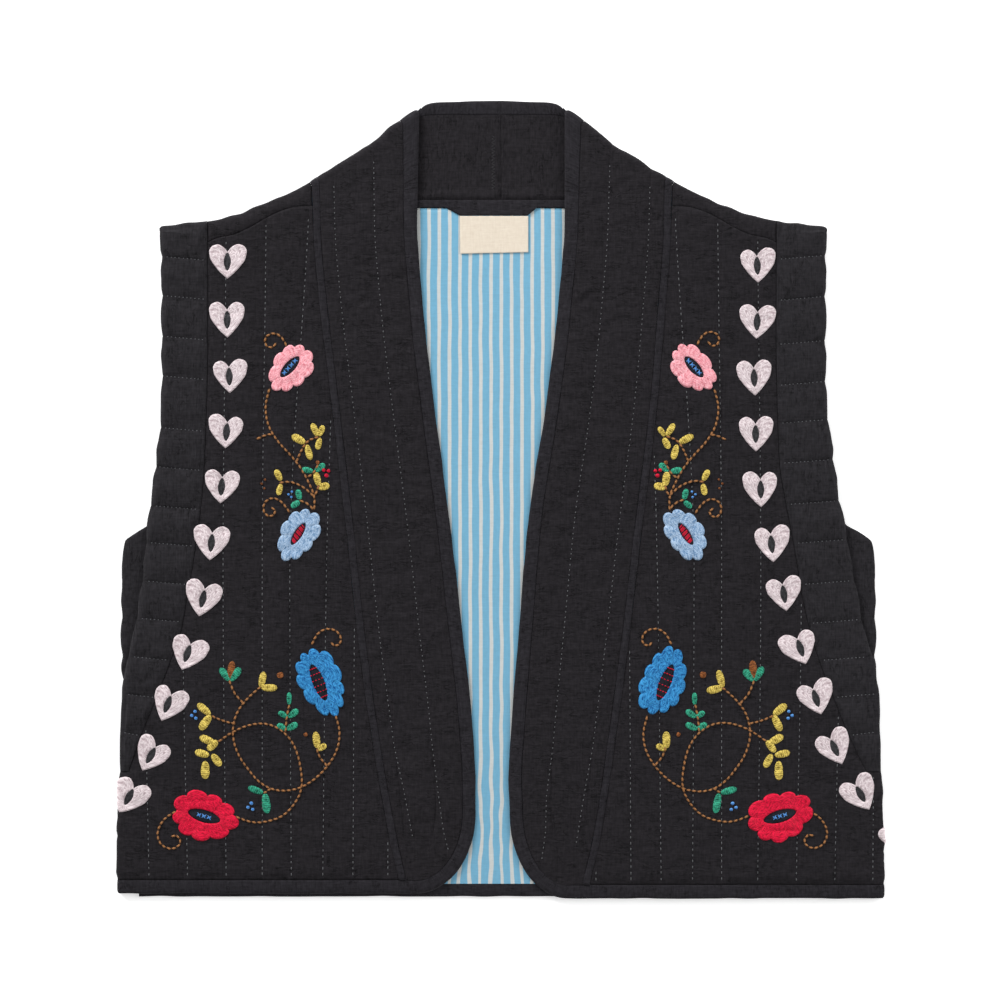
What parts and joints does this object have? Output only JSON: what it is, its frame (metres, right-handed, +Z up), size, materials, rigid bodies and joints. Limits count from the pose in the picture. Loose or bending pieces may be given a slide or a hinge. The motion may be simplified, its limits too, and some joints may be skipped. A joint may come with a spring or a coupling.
{
  "type": "quilted vest",
  "caption": "Sleeveless open-front quilted cotton vest with a wide collar band, quilted armhole bands, bound edges and folk embroidery, laid flat on its back.",
  "frame": {"origin": "middle of the bounding box's underside, on the surface that the vest lies on", "axes": "+X to the viewer's right across the garment, +Y up the garment from the hem to the neck, +Z up from the surface towards the fronts"},
  "size_m": [0.5684, 0.5912, 0.0084],
  "materials": {
    "quilted_cotton": "charcoal slubby cotton, matt, quilted with grey running stitches",
    "binding_cotton": "charcoal cotton bias binding, matt",
    "striped_lining": "light blue cotton lining with narrow cream stripes, matt",
    "label_cotton": "plain cream woven label"
  },
  "bodies": {
    "root": {"back_panel": "quilted_cotton", "back_lining": "striped_lining", "back_hem_binding": "binding_cotton", "neck_facing": "binding_cotton", "label": "label_cotton", "left_front": "quilted_cotton", "right_front": "quilted_cotton", "left_collar_band": "quilted_cotton", "right_collar_band": "quilted_cotton", "left_seam_tape": "binding_cotton", "right_seam_tape": "binding_cotton", "left_edge_binding": "binding_cotton", "right_edge_binding": "binding_cotton", "left_armhole_band": "quilted_cotton", "right_armhole_band": "quilted_cotton"}
  },
  "joints": []
}
